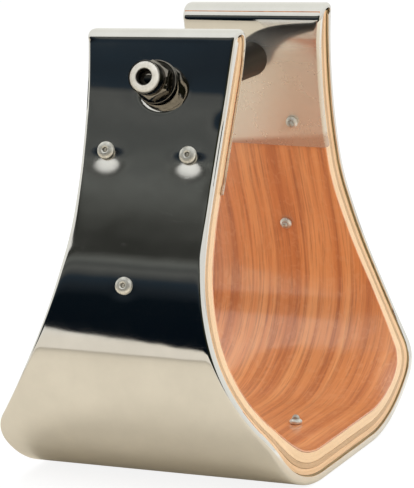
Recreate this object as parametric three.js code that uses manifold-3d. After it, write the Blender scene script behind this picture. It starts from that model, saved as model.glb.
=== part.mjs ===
// Bell stirrup: a bent and laminated wooden bow, cased outside in one polished sheet, with its
// hanger bolt and strap roller in the neck and blind rivets through sheet and wood.
// Millimetres. +Z up, legs apart along X, tread depth along Y, origin under the middle of the tread.
import * as THREE from 'three';
import { mergeVertices } from 'three/addons/utils/BufferGeometryUtils.js';
import Module from 'manifold-3d';

const wasm = await Module();
wasm.setup();

// Bow profile, followed down the inner wooden face from the top of a leg to the tread
const degree = Math.PI / 180;
const neckGap = 76;
const neckLean = 15.8 * degree;
const neckRun = 15.4;
const flareRadius = 337;
const flareLean = 27.8 * degree;
const easeRadius = 97;
const easeLean = 9.9 * degree;
const hipRadius = 33.8;
const hipTurn = 65.4 * degree;
const heelRadius = 63.4;

// Bow outline seen along X, wood only
const neckDepth = 50;
const treadDepth = 107;
const waistHeight = 105;
const cheekRadius = 129;
const cornerRadius = 21.3;
const crownRadius = 586;

// Laminations, from the foot side outwards, and the glue line between them
const glueLine = 0.1;
const veneerThickness = 0.6;
const innerCoreThickness = 3.8;
const crossPlyThickness = 2;
const outerCoreThickness = 2.3;
const backingThickness = 2.6;

// Sheet cover: web outside, rolled lips over the wood's edges, a fold over each leg's top
const sheet = 0.9;
const sheetFit = 0.1;
const edgeFit = 0.2;
const edgeRoll = 1.8;
const coverLip = 3.4;
const treadLip = 2.4;
const foldRadius = 4;
const tabLength = 59;
const tabLip = 2.6;
const tabNotch = 4;
const notchLip = 1.2;

// Hanger bolt, square to each leg, with washers, a lock nut and the strap roller
const boltDrop = 20.5;
const boltDiameter = 7.9;
const boltHoleDiameter = 8.8;
const boltBendRadius = 12;
const washerDiameter = 16;
const washerThickness = 1.6;
const washerGap = 0.25;
const seatGap = 0.1;
const wrenchSize = 12.7;
const headHeight = 5.2;
const nutHexHeight = 5;
const nutCollarHeight = 6.2;
const nutCollarDiameter = 12.4;
const nutBoreDiameter = 8.4;
const ringThickness = 2.4;
const ringRecess = 0.3;
const ringBoreDiameter = 5.4;
const ringOuterDiameter = 10.4;
const ringFit = 0.15;
const rollerDiameter = 13.6;
const rollerBore = 8.5;
const rollerEndGap = 0.5;
const rollerChamfer = 1;

// Blind rivets: a pair under the neck, one low on each leg and a pair across the tread
const rivetHeadDiameter = 6.4;
const rivetHeadHeight = 1.3;
const rivetShank = 3.2;
const rivetHole = 3.8;
const rivetBore = 1.9;
const rivetTail = 5;
const rivetTailHeight = 1.9;
const mandrelDiameter = 1.6;
const mandrelHead = 2.9;
const mandrelSink = 0.5;
const upperRivetDrop = 47.4;
const upperRivetSpread = 32;
const lowerRivetDrop = 97;
const treadRivetSpread = 66;
const flushSink = 1.5;

// Rivets were set by eye: how far each pair and each lower rivet is to the rear of the middle
const leftPairShift = 0.9;
const leftLowerShift = 1.7;
const rightPairShift = 3;
const rightLowerShift = -2.7;

// How finely the curved stretches are divided
const neckSteps = 2;
const flareSteps = 8;
const easeSteps = 4;
const hipSteps = 11;
const heelSteps = 6;
const foldSteps = 4;
const rollSteps = 2;
const roundSides = 20;
const rivetSides = 12;

const woodThickness = veneerThickness + innerCoreThickness + crossPlyThickness
  + outerCoreThickness + backingThickness + 4 * glueLine;
const webOffset = woodThickness + sheetFit;
const outerOffset = webOffset + sheet;

// The half profile as straight and round stretches; a lean is measured from straight down
const hipEnd = easeLean - hipTurn;
const level = -90 * degree;
const stretches = [
  { length: neckRun, from: neckLean, to: neckLean, steps: neckSteps },
  { length: flareRadius * (flareLean - neckLean), from: neckLean, to: flareLean, steps: flareSteps },
  { length: easeRadius * (flareLean - easeLean), from: flareLean, to: easeLean, steps: easeSteps },
  { length: hipRadius * hipTurn, from: easeLean, to: hipEnd, steps: hipSteps },
  { length: heelRadius * (hipEnd - level), from: hipEnd, to: level, steps: heelSteps },
];

// Point on a stretch, a given length along it, by the closed form for a line or an arc
function advance(start, stretch, along) {
  const turn = stretch.to - stretch.from;
  const lean = stretch.from + turn * along / stretch.length;
  if (turn === 0) {
    return {
      x: start.x + Math.sin(lean) * along,
      z: start.z - Math.cos(lean) * along,
      lean,
    };
  }
  const radius = stretch.length / turn;
  return {
    x: start.x + radius * (Math.cos(stretch.from) - Math.cos(lean)),
    z: start.z + radius * (Math.sin(stretch.from) - Math.sin(lean)),
    lean,
  };
}

// Joints between the stretches; the level tread takes up what is left to the middle
const joints = [{ x: neckGap / 2, z: 0, lean: neckLean, at: 0 }];
for (const stretch of stretches) {
  const last = joints[joints.length - 1];
  const next = advance(last, stretch, stretch.length);
  next.at = last.at + stretch.length;
  joints.push(next);
}
const heel = joints[joints.length - 1];
stretches.push({ length: heel.x, from: level, to: level, steps: 1 });
const halfLength = heel.at + heel.x;
const topHeight = outerOffset - heel.z;

// Point of the right leg at a length down the inner face and an offset outwards from it
function bandPoint(length, offset) {
  let index = 0;
  while (index < stretches.length - 1 && length > joints[index + 1].at) index += 1;
  const spot = advance(joints[index], stretches[index], length - joints[index].at);
  const nx = Math.cos(spot.lean);
  const nz = Math.sin(spot.lean);
  return { x: spot.x + offset * nx, z: spot.z + topHeight + offset * nz, nx, nz, lean: spot.lean };
}

// Half depth of the wood at a height: a straight tread edge, a round corner, the hollow cheek
const neckHalf = neckDepth / 2;
const treadHalf = treadDepth / 2;
const archSum = cheekRadius + cornerRadius;
const archRise = Math.sqrt(archSum ** 2 - (archSum - (treadHalf - neckHalf)) ** 2);
const cornerHeight = waistHeight - archRise;
const shoulderHeight = cornerHeight + archRise * cornerRadius / archSum;
function halfDepth(z) {
  const rise = z - waistHeight;
  if (rise >= 0) return neckHalf + crownRadius - Math.sqrt(crownRadius ** 2 - rise ** 2);
  if (z >= shoulderHeight) return neckHalf + cheekRadius - Math.sqrt(cheekRadius ** 2 - rise ** 2);
  if (z <= cornerHeight) return treadHalf;
  return treadHalf - cornerRadius + Math.sqrt(cornerRadius ** 2 - (z - cornerHeight) ** 2);
}

// Closed body from a row of rings with equal point counts, turned the right way out
function loft(rings) {
  const count = rings[0].length;
  const positions = rings.flat(2);
  const index = [];
  for (let row = 0; row + 1 < rings.length; row += 1) {
    for (let k = 0; k < count; k += 1) {
      const a = row * count + k;
      const b = row * count + (k + 1) % count;
      index.push(a, b, b + count, a, b + count, a + count);
    }
  }
  const flat = THREE.ShapeUtils.triangulateShape(
    rings[0].map((p, k) => ringPlane(rings[0], k)), []);
  const tail = (rings.length - 1) * count;
  for (const corners of flat) {
    const [a, b, c] = [...corners].sort((p, q) => p - q);
    index.push(c, b, a);
    index.push(tail + a, tail + b, tail + c);
  }
  const geometry = new THREE.BufferGeometry();
  geometry.setAttribute('position', new THREE.Float32BufferAttribute(positions, 3));
  geometry.setIndex(index);
  return facingOut(geometry);
}

// A ring's own plane holds Y and the direction square to it
function ringPlane(ring, k) {
  const [x0, , z0] = ring[0];
  const [x, y, z] = ring[k];
  const far = ring.reduce((best, p) => (
    Math.hypot(p[0] - x0, p[2] - z0) > Math.hypot(best[0] - x0, best[2] - z0) ? p : best), ring[0]);
  const reach = Math.hypot(far[0] - x0, far[2] - z0);
  const u = ((x - x0) * (far[0] - x0) + (z - z0) * (far[2] - z0)) / reach;
  return new THREE.Vector2(u, y);
}

function facingOut(geometry) {
  const p = geometry.getAttribute('position');
  const index = geometry.getIndex().array;
  const a = new THREE.Vector3();
  const b = new THREE.Vector3();
  const c = new THREE.Vector3();
  let volume = 0;
  for (let k = 0; k < index.length; k += 3) {
    a.fromBufferAttribute(p, index[k]);
    b.fromBufferAttribute(p, index[k + 1]);
    c.fromBufferAttribute(p, index[k + 2]);
    volume += a.dot(b.cross(c));
  }
  if (volume < 0) {
    for (let k = 0; k < index.length; k += 3) {
      [index[k + 1], index[k + 2]] = [index[k + 2], index[k + 1]];
    }
  }
  return geometry;
}

// Shared vertices merged and empty triangles left out, as the joining and cutting needs
function weld(source) {
  const bare = source.clone();
  bare.deleteAttribute('normal');
  bare.deleteAttribute('uv');
  const geometry = mergeVertices(bare, 1e-4);
  const old = geometry.getIndex().array;
  const kept = [];
  for (let k = 0; k < old.length; k += 3) {
    const [a, b, c] = [old[k], old[k + 1], old[k + 2]];
    if (a !== b && b !== c && c !== a) kept.push(a, b, c);
  }
  geometry.setIndex(kept);
  return facingOut(geometry);
}

function solid(source) {
  const geometry = weld(source);
  return new wasm.Manifold(new wasm.Mesh({
    numProp: 3,
    vertProperties: new Float32Array(geometry.getAttribute('position').array),
    triVerts: new Uint32Array(geometry.getIndex().array),
  }));
}

function geometryOf(body) {
  const mesh = body.getMesh();
  const geometry = new THREE.BufferGeometry();
  geometry.setAttribute('position', new THREE.BufferAttribute(new Float32Array(mesh.vertProperties), 3));
  geometry.setIndex(new THREE.BufferAttribute(new Uint32Array(mesh.triVerts), 1));
  return geometry;
}

// A turned body about the X axis from [along, radius] points
function turned(points, sides) {
  const profile = points.map(([along, radius]) => new THREE.Vector2(radius, along));
  return weld(new THREE.LatheGeometry(profile, sides).rotateZ(-Math.PI / 2));
}

function turnedTube(start, end, outer, inner, sides) {
  return turned([[start, inner], [start, outer], [end, outer], [end, inner], [start, inner]], sides);
}

function turnedPin(start, end, radius, sides) {
  return turned([[start, 0], [start, radius], [end, radius], [end, 0]], sides);
}

// Places on the band: a group whose X axis points out of the wood, square to it
const legs = { left: -1, right: 1 };
const pairShift = { left: leftPairShift, right: rightPairShift };
const lowerShift = { left: leftLowerShift, right: rightLowerShift };
function placeOn(side, drop, y) {
  const spot = bandPoint(drop, 0);
  const group = new THREE.Group();
  group.position.set(side * spot.x, y, spot.z);
  group.rotation.y = side > 0 ? -spot.lean : Math.PI + spot.lean;
  group.updateMatrixWorld();
  return group;
}

function drill(side, drop, y, diameter, sides, flush) {
  const place = placeOn(side, drop, y);
  const reach = outerOffset + 2 * sheet;
  const low = diameter / 2;
  const wide = (rivetHeadDiameter + diameter - rivetShank) / 2;
  const sink = [[outerOffset - flushSink, low], [outerOffset, wide], [1.5 * reach, wide]];
  const straight = [[1.5 * reach, low]];
  const tool = turned([
    [-reach / 2, 0], [-reach / 2, low], ...(flush ? sink : straight), [1.5 * reach, 0],
  ], sides);
  return solid(tool.applyMatrix4(place.matrixWorld));
}

const rivets = [];
for (const [leg, side] of Object.entries(legs)) {
  const pair = { side, drop: upperRivetDrop, tab: true, flush: false };
  rivets.push({ ...pair, name: `${leg}_front_rivet`, y: pairShift[leg] - upperRivetSpread / 2 });
  rivets.push({ ...pair, name: `${leg}_rear_rivet`, y: pairShift[leg] + upperRivetSpread / 2 });
  rivets.push({ ...pair, name: `${leg}_lower_rivet`, drop: lowerRivetDrop, y: lowerShift[leg], tab: false });
}
for (const [end, side] of [['front', -1], ['rear', 1]]) {
  const y = side * treadRivetSpread / 2;
  rivets.push({ name: `tread_${end}_rivet`, side: 1, drop: halfLength, y, tab: false, flush: true });
}

let drills = drill(legs.left, boltDrop, 0, boltHoleDiameter, roundSides, false);
drills = drills.add(drill(legs.right, boltDrop, 0, boltHoleDiameter, roundSides, false));
for (const { side, drop, y, flush } of rivets) {
  drills = drills.add(drill(side, drop, y, rivetHole, rivetSides, flush));
}

// Lengths down the inner face at which the band has a ring
const stations = [0];
joints.forEach((joint, k) => {
  for (let step = 1; step <= stretches[k].steps; step += 1) {
    stations.push(joint.at + stretches[k].length * step / stretches[k].steps);
  }
});

// Rings of the whole bow from one half: right leg downwards, then its mirror image upwards
function bothHalves(halfRings) {
  const mirrored = halfRings.map((ring) => ring.map(([x, y, z]) => [-x, y, z])).reverse();
  const middle = Math.abs(halfRings[halfRings.length - 1][0][0]) < 1e-6;
  return halfRings.concat(middle ? mirrored.slice(1) : mirrored);
}

// Wood is sawn level at the top, so a ring there sits lower on its outer side
function levelled(length, offset) {
  const share = Math.max(0, 1 - 2 * length / tabLength);
  return length + offset * Math.tan(neckLean) * share;
}

function plyRing(length, inner, outer) {
  const corners = [[inner, 1], [outer, 1], [outer, -1], [inner, -1]];
  return corners.map(([offset, edge]) => {
    const spot = bandPoint(levelled(length, offset), offset);
    return [spot.x, edge * halfDepth(spot.z), spot.z];
  });
}

// Fold of the sheet over a leg's top, in the profile plane of the right leg
const foldInner = foldRadius - sheet;
const capHeight = topHeight + sheetFit;
const outerFoldTurn = 90 * degree - neckLean;
const innerFoldTurn = 90 * degree + neckLean;
const outerFoldReach = foldInner * Math.tan(outerFoldTurn / 2);
const innerFoldReach = foldInner * Math.tan(innerFoldTurn / 2);
const webTop = (webOffset * Math.sin(neckLean) - sheetFit) / Math.cos(neckLean);
const tabTop = -sheetFit * (1 + Math.sin(neckLean)) / Math.cos(neckLean);
const webCorner = bandPoint(webTop, webOffset);
const tabCorner = bandPoint(tabTop, -sheetFit);

function foldRound(centreX, radius, from, to) {
  const points = [];
  for (let step = 0; step <= foldSteps; step += 1) {
    const angle = from + (to - from) * step / foldSteps;
    const nx = Math.cos(angle);
    const nz = Math.sin(angle);
    points.push({ x: centreX + radius * nx, z: capHeight - foldInner + radius * nz, nx, nz });
  }
  return points;
}
const outerFoldX = webCorner.x - outerFoldReach;
const innerFoldX = tabCorner.x + innerFoldReach;
const tabLean = Math.PI + neckLean;

// Wood inside the fold has its two top corners rounded to match
function crownCutter(side) {
  const radius = foldInner - sheetFit / 2;
  const round = [
    ...foldRound(outerFoldX, radius, neckLean, 90 * degree),
    ...foldRound(innerFoldX, radius, 90 * degree, tabLean),
  ];
  const low = webTop + outerFoldReach + foldRadius;
  const start = bandPoint(low, webOffset - sheetFit / 2);
  const end = bandPoint(low, -sheetFit / 2);
  const outline = [start, ...round, end].map(({ x, z }) => new THREE.Vector2(side * x, z));
  const options = { depth: 2 * treadDepth, bevelEnabled: false };
  const inside = new THREE.ExtrudeGeometry(new THREE.Shape(outline), options);
  inside.rotateX(Math.PI / 2).translate(0, treadDepth, 0);
  const margin = 2 * woodThickness;
  const left = Math.min(start.x, end.x) - margin;
  const right = Math.max(start.x, end.x) + margin;
  const bottom = Math.max(start.z, end.z);
  const block = new THREE.BoxGeometry(right - left, 2 * treadDepth, topHeight + margin - bottom);
  block.translate(side * (left + right) / 2, 0, (bottom + topHeight + margin) / 2);
  return solid(block).subtract(solid(inside));
}
const crownCutters = [crownCutter(legs.left), crownCutter(legs.right)];

function ply(inner, thickness) {
  const rings = bothHalves(stations.map((length) => plyRing(length, inner, inner + thickness)));
  let body = solid(loft(rings)).subtract(drills);
  for (const cutter of crownCutters) body = body.subtract(cutter);
  return geometryOf(body);
}

// Stations of the sheet: each has a point on its wood side, its outward direction and its lip
const foldLip = Math.min(0.8 * foldInner, tabLip);
const outerMitre = Math.tan((Math.PI - outerFoldTurn) / 2);
const innerMitre = Math.tan((Math.PI - innerFoldTurn) / 2);
const outerMitreRun = (coverLip - foldLip) / outerMitre;
const innerMitreRun = (tabLip - foldLip) / innerMitre;

// The lip narrows round the hip to its width under the tread
function webLip(length) {
  const hip = joints[3].at;
  const share = Math.min(Math.max((length - hip) / (joints[4].at - hip), 0), 1);
  return coverLip + (treadLip - coverLip) * share;
}

function sheetStations() {
  const list = [];
  const onTab = (length, lip) => {
    const spot = bandPoint(length, -sheetFit);
    list.push({ x: spot.x, z: spot.z, nx: -spot.nx, nz: -spot.nz, lip });
  };
  const tabStart = tabTop + innerFoldReach;
  const tabRun = tabLength - tabNotch;
  onTab(tabLength, notchLip);
  onTab(tabRun + sheetFit, notchLip);
  onTab(tabRun, tabLip);
  const between = stations.filter((length) => (
    length > tabStart + innerMitreRun + edgeRoll && length < tabRun - edgeRoll));
  for (const length of between.reverse()) onTab(length, tabLip);
  onTab(tabStart + innerMitreRun, tabLip);
  const inner = foldRound(innerFoldX, foldInner, tabLean, 90 * degree);
  const outer = foldRound(outerFoldX, foldInner, 90 * degree, neckLean);
  for (const spot of inner) list.push({ ...spot, lip: foldLip });
  const capRun = outerFoldX - innerFoldX;
  const capLip = Math.min(tabLip, foldLip + capRun / 2 * innerMitre);
  const rise = (capLip - foldLip) / innerMitre;
  const fall = (capLip - foldLip) / outerMitre;
  if (capRun > rise + fall) {
    list.push({ x: innerFoldX + rise, z: capHeight, nx: 0, nz: 1, lip: capLip });
    list.push({ x: outerFoldX - fall, z: capHeight, nx: 0, nz: 1, lip: capLip });
  }
  for (const spot of outer) list.push({ ...spot, lip: foldLip });
  const webStart = webTop + outerFoldReach;
  const onWeb = (length, lip) => list.push({ ...bandPoint(length, webOffset), lip });
  onWeb(webStart + outerMitreRun, coverLip);
  const below = stations.filter((length) => length > webStart + outerMitreRun + edgeRoll);
  for (const length of below) onWeb(length, webLip(length));
  return list;
}

// Channel section of the sheet: web, rolled edges and lips, walked once round
function channelSection(lip) {
  const half = [[-lip, sheet], [-lip, 0]];
  for (let step = 0; step <= rollSteps; step += 1) {
    const angle = 90 * degree * step / rollSteps;
    half.push([sheet - edgeRoll + edgeRoll * Math.sin(angle), edgeRoll - edgeRoll * Math.cos(angle)]);
  }
  half.unshift([0, sheet]);
  const rear = half.map(([offset, inset]) => ({ offset, inset, edge: 1 }));
  const front = half.map(([offset, inset]) => ({ offset, inset, edge: -1 })).reverse();
  return [...rear, ...front];
}

function coverGeometry() {
  const half = sheetStations().map(({ x, z, nx, nz, lip }) => (
    channelSection(lip).map(({ offset, inset, edge }) => {
      const px = x + offset * nx;
      const pz = z + offset * nz;
      const depth = halfDepth(pz) + edgeFit + sheet - inset;
      return [px, edge * depth, pz];
    })));
  const body = solid(loft(bothHalves(half))).subtract(drills);
  return geometryOf(body);
}

// Hexagon with its wrench corners turned off round at the far end
function hexBody(start, height) {
  const corner = wrenchSize / 2 / Math.cos(30 * degree);
  const prism = new THREE.CylinderGeometry(corner, corner, height, 6);
  prism.rotateY(30 * degree).rotateZ(-Math.PI / 2).translate(start + height / 2, 0, 0);
  const end = start + height;
  const flat = 0.95 * wrenchSize / 2;
  const slope = (corner - flat) * Math.tan(30 * degree);
  const turnedEnd = turned([
    [start, 0], [start, flat], [start + slope, corner + 0.01],
    [end - slope, corner + 0.01], [end, flat], [end, 0],
  ], 2 * roundSides);
  return solid(prism).intersect(solid(turnedEnd));
}

// Hanger bolt: level under the roller, bent up at both ends to stand square in the legs
const boltRadius = boltDiameter / 2;
const washerSeat = outerOffset + washerGap;
const nutStart = washerSeat + washerThickness + seatGap;
const nutEnd = nutStart + nutHexHeight + nutCollarHeight;
const ringEnd = nutEnd - ringRecess;
const ringStart = ringEnd - ringThickness;
const boltEnd = ringStart - seatGap;
const headStart = nutStart;
const tabFace = -(sheetFit + sheet);
const boltFoot = bandPoint(boltDrop, tabFace);
const boltLean = boltFoot.lean;
const bendReach = boltBendRadius * Math.tan(boltLean / 2);
const boltLevel = boltFoot.z;
const levelHalf = boltFoot.x - bendReach;
const rollerCorner = rollerDiameter / 2 - rollerChamfer;
const rollerRoom = boltFoot.x - rollerCorner * Math.tan(boltLean) - rollerEndGap / Math.cos(boltLean);

function boltStations(reach) {
  const bendSteps = 3;
  const half = [];
  const tip = bandPoint(boltDrop, reach);
  half.push({ x: tip.x, z: tip.z, lean: boltLean });
  for (let step = 0; step <= bendSteps; step += 1) {
    const lean = boltLean * (1 - step / bendSteps);
    half.push({
      x: levelHalf + boltBendRadius * Math.sin(lean),
      z: boltLevel + boltBendRadius * (1 - Math.cos(lean)),
      lean,
    });
  }
  return half;
}

function boltRings(side, reach) {
  return boltStations(reach).map(({ x, z, lean }) => {
    const ring = [];
    for (let k = 0; k < roundSides; k += 1) {
      const angle = 2 * Math.PI * k / roundSides;
      const up = boltRadius * Math.sin(angle);
      const out = side * (x - up * Math.sin(lean));
      ring.push([out, boltRadius * Math.cos(angle), z + up * Math.cos(lean)]);
    }
    return ring;
  });
}

function boltGeometry() {
  const headReach = headStart + headHeight / 2;
  const rings = [...boltRings(legs.right, headReach), ...boltRings(legs.left, boltEnd).reverse()];
  const place = placeOn(legs.right, boltDrop, 0);
  const head = geometryOf(hexBody(headStart, headHeight)).applyMatrix4(place.matrixWorld);
  return geometryOf(solid(loft(rings)).add(solid(head)));
}

function nutGeometry() {
  const bore = nutBoreDiameter / 2;
  const collar = nutCollarDiameter / 2;
  const collarStart = nutStart + nutHexHeight;
  const soft = 0.9;
  const collarBody = turned([
    [collarStart - soft, 0], [collarStart - soft, collar], [nutEnd - soft, collar],
    [nutEnd - soft / 3, collar - soft / 3], [nutEnd, collar - soft], [nutEnd, 0],
  ], roundSides);
  const recess = turned([
    [nutStart - soft, 0], [nutStart - soft, bore], [ringStart - ringFit, bore],
    [ringStart - ringFit, ringOuterDiameter / 2 + ringFit],
    [nutEnd + soft, ringOuterDiameter / 2 + ringFit], [nutEnd + soft, 0],
  ], roundSides);
  return geometryOf(hexBody(nutStart, nutHexHeight).add(solid(collarBody)).subtract(solid(recess)));
}

function rollerGeometry() {
  const half = Math.min(rollerRoom, levelHalf);
  const outer = rollerDiameter / 2;
  const inner = rollerBore / 2;
  const round = rollerCorner;
  return turned([
    [-half, inner], [-half, round], [rollerChamfer - half, outer], [half - rollerChamfer, outer],
    [half, round], [half, inner], [-half, inner],
  ], roundSides);
}

const seat = outerOffset + seatGap;

// Blind rivet: head domed on the sheet or sunk flush in it, hollow shank, drawn tail on the foot side
function headTop(flush) {
  return flush ? outerOffset - seatGap : seat + rivetHeadHeight;
}

function rivetGeometry(foot, flush) {
  const head = rivetHeadDiameter / 2;
  const shank = rivetShank / 2;
  const bore = rivetBore / 2;
  const tail = rivetTail / 2;
  const top = headTop(flush);
  const end = foot - rivetTailHeight;
  const neck = flush ? outerOffset - flushSink : seat;
  const dome = [
    [seat, shank], [seat, head], [seat + rivetHeadHeight * 0.4, head * 0.95],
    [seat + rivetHeadHeight * 0.8, head * 0.7], [top, head * 0.4],
  ];
  const cone = [[neck, shank], [top, head]];
  return turned([
    ...(flush ? cone : dome), [top, bore], [end, bore], [end, tail * 0.7],
    [end + rivetTailHeight * 0.4, tail], [foot, tail * 0.85], [foot, shank], [neck, shank],
  ], rivetSides);
}

// Mandrel left in the rivet: its rod broken off inside the head, its ball at the tail
function mandrelGeometry(foot, flush) {
  const rod = mandrelDiameter / 2;
  const ball = mandrelHead / 2;
  const start = foot - rivetTailHeight - seatGap;
  const end = headTop(flush) - mandrelSink;
  return turned([
    [start - ball, 0], [start - ball * 0.7, ball * 0.7], [start, ball], [start, rod],
    [end - rod / 2, rod], [end, rod / 2], [end, 0],
  ], rivetSides - 4);
}

// Colours and finishes
function finish(color, roughness, metalness) {
  return new THREE.MeshStandardMaterial({ color, roughness, metalness });
}
const polishedSheet = () => finish(0xc9c9c6, 0.12, 1);
const redVeneer = () => finish(0xb86a3a, 0.38, 0);
const creamWood = () => finish(0xf0d9a8, 0.6, 0);
const tanWood = () => finish(0xb59468, 0.65, 0);
const peachWood = () => finish(0xe8bd90, 0.6, 0);
const steel = () => finish(0xb4b2ac, 0.28, 1);
const nylon = () => finish(0xeceae2, 0.5, 0);
const blackRubber = () => finish(0x1c1a18, 0.35, 0);
const aluminium = () => finish(0xd0d0cc, 0.35, 1);

function node(name, geometry, material, parent) {
  const mesh = new THREE.Mesh(geometry, material);
  mesh.name = name;
  parent.add(mesh);
  return mesh;
}

const stirrup = new THREE.Group();

const bow = new THREE.Group();
stirrup.add(bow);
const laminations = [
  ['face_veneer', veneerThickness, redVeneer],
  ['inner_core_ply', innerCoreThickness, creamWood],
  ['cross_ply', crossPlyThickness, tanWood],
  ['outer_core_ply', outerCoreThickness, peachWood],
  ['backing_ply', backingThickness, tanWood],
];
let depthIn = 0;
for (const [name, thickness, material] of laminations) {
  node(name, ply(depthIn, thickness), material(), bow);
  depthIn += thickness + glueLine;
}
node('metal_cover', coverGeometry(), polishedSheet(), bow);

const hanger = new THREE.Group();
stirrup.add(hanger);
node('hanger_bolt', boltGeometry(), steel(), hanger);
const roller = node('strap_roller', rollerGeometry(), blackRubber(), hanger);
roller.position.z = boltLevel;
for (const [leg, side] of Object.entries(legs)) {
  const place = placeOn(side, boltDrop, 0);
  hanger.add(place);
  const washerEnd = washerSeat + washerThickness;
  const washer = turnedTube(washerSeat, washerEnd, washerDiameter / 2, boltHoleDiameter / 2, roundSides);
  node(`${leg}_washer`, washer, steel(), place);
  if (side === legs.left) {
    node('lock_nut', nutGeometry(), steel(), place);
    const ring = turnedTube(ringStart, ringEnd, ringOuterDiameter / 2, ringBoreDiameter / 2, roundSides);
    node('lock_nut_ring', ring, nylon(), place);
  }
}

const fastenings = new THREE.Group();
stirrup.add(fastenings);
for (const rivet of rivets) {
  const place = placeOn(rivet.side, rivet.drop, rivet.y);
  fastenings.add(place);
  const foot = (rivet.tab ? tabFace : 0) - seatGap;
  node(rivet.name, rivetGeometry(foot, rivet.flush), aluminium(), place);
  node(`${rivet.name}_mandrel`, mandrelGeometry(foot, rivet.flush), steel(), place);
}

export default stirrup;
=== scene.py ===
# Looks of the bell stirrup: finer bow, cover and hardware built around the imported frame.
# Lengths are millimetres until a mesh is made, then metres, in the frame's own axes.
import bisect
import math

import bmesh
import bpy
from mathutils import Matrix, Vector, noise

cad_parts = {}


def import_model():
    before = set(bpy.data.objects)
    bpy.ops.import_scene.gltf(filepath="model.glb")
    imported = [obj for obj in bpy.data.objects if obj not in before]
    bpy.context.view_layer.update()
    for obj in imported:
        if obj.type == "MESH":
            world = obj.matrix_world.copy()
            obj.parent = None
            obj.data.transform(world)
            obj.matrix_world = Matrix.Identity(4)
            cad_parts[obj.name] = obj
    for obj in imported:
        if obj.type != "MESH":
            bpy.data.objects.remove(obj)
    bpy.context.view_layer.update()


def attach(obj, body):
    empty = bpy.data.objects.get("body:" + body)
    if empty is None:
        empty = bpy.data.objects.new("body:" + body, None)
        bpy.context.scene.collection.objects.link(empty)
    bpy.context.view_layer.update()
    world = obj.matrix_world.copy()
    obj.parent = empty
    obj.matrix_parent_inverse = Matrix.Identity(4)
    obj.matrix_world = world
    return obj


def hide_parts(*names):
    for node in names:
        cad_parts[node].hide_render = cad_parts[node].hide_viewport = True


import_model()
MM = 0.001
DEGREE = math.pi / 180

# Bow profile down the inner wooden face, as in the solids
NECK_GAP = 76
NECK_LEAN = 15.8 * DEGREE
NECK_RUN = 15.4
FLARE_RADIUS = 337
FLARE_LEAN = 27.8 * DEGREE
EASE_RADIUS = 97
EASE_LEAN = 9.9 * DEGREE
HIP_RADIUS = 33.8
HIP_TURN = 65.4 * DEGREE
HEEL_RADIUS = 63.4

# Bow outline seen from the side
NECK_DEPTH = 50
TREAD_DEPTH = 107
WAIST_HEIGHT = 105
CHEEK_RADIUS = 129
CORNER_RADIUS = 21.3
CROWN_RADIUS = 586

# Wood from the foot side outwards, and the sheet over it
GLUE_LINE = 0.1
PLIES = {
    "face_veneer": 0.6,
    "inner_core_ply": 3.8,
    "cross_ply": 2.0,
    "outer_core_ply": 2.3,
    "backing_ply": 2.6,
}
SHEET = 0.9
SHEET_FIT = 0.1
EDGE_FIT = 0.2
EDGE_ROLL = 1.8
COVER_LIP = 1.9
TREAD_LIP = 2.2
FOLD_LIP = 0.9
FOLD_RADIUS = 4
TAB_LENGTH = 59
TAB_LIP = 0.6
TAB_NOTCH = 4
NOTCH_LIP = 1.2
TAB_EASE_FROM = 17
TAB_EASE_TO = 6

# Marks of the forming: a crease across the neck, sides pressed down (front -1, rear 1), the tops' slant
CREASE_DROP = 24
CREASE_RUN = 19
CREASE_RISE = 0.66
SIDE_EASE = 0.8
SIDE_EASE_WIDTH = {-1: 6.5, 1: 4.5}
FRONT_PRESS_FROM = 30
FRONT_PRESS_FADE_IN = 8
FRONT_PRESS_TO = 66
FRONT_PRESS_FADE_OUT = 20
REAR_PRESS = 0.25
REAR_PRESS_FADE = 20
REAR_NECK_PRESS = 0.55
REAR_NECK_TO = 40
REAR_NECK_FADE = 12
TOP_SLANT = 0.035
TOP_LIFT = {-1: 1.3, 1: 0.2}
SLANT_START = 0.8
TAB_CURL = 0.25
TAB_CURL_RUN = 5

# Hollow pressed in below each fastener: reach past it, depth, power of its fall
BOLT_HOLLOW = (3.4, 0.82, 1.3)
UPPER_RIVET_HOLLOW = (8.0, 0.72, 2)
LOWER_RIVET_HOLLOW = (4.5, 0.12, 2)
BOLT_HOLLOW_SHIFT = -2.0
UPPER_HOLLOW_SHIFT = -0.8
HOLLOW_AIM = 0.9
HOLLOW_BACK = 0.25

# Small unevenness: seed, width of a wave, height
WEB_WAVES = ((11, 24, 0.04), (12, 7, 0.012))
LIP_WAVES = ((7, 9, 0.12), (8, 2, 0.05))
SAW_WAVES = ((0, 3, 0.07), (3, 14, 0.05))
SAW_SINK = 0.06

# Hardware
BOLT_DROP = 20.5
BOLT_DIAMETER = 7.9
BOLT_BEND_RADIUS = 12
WASHER_DIAMETER = 16
WASHER_THICKNESS = 1.6
WASHER_GAP = 0.25
WASHER_BORE = 8.8
SEAT_GAP = 0.1
WRENCH_SIZE = 12.7
HEAD_HEIGHT = 5.2
NUT_HEX_HEIGHT = 5.0
NUT_COLLAR_HEIGHT = 6.2
NUT_COLLAR_DIAMETER = 12.4
RING_THICKNESS = 2.4
RING_RECESS = 0.3
RING_BORE = 5.8
RING_OUTER = 11.6
ROLLER_DIAMETER = 13.6
ROLLER_BORE = 8.5
ROLLER_END_GAP = 0.5
ROLLER_CHAMFER = 1
RIVET_HEAD = 6.4
RIVET_HEAD_HEIGHT = 1.3
RIVET_SHANK = 3.2
RIVET_BORE = 1.9
RIVET_TAIL = 5
RIVET_TAIL_HEIGHT = 1.9
MANDREL = 1.6
MANDREL_HEAD = 2.9
MANDREL_SINK = 0.5
UPPER_RIVET_DROP = 47.4
UPPER_RIVET_SPREAD = 32
LOWER_RIVET_DROP = 97
TREAD_RIVET_SPREAD = 66
FLUSH_SINK = 1.5
LEFT_PAIR_SHIFT = 0.9
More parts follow.
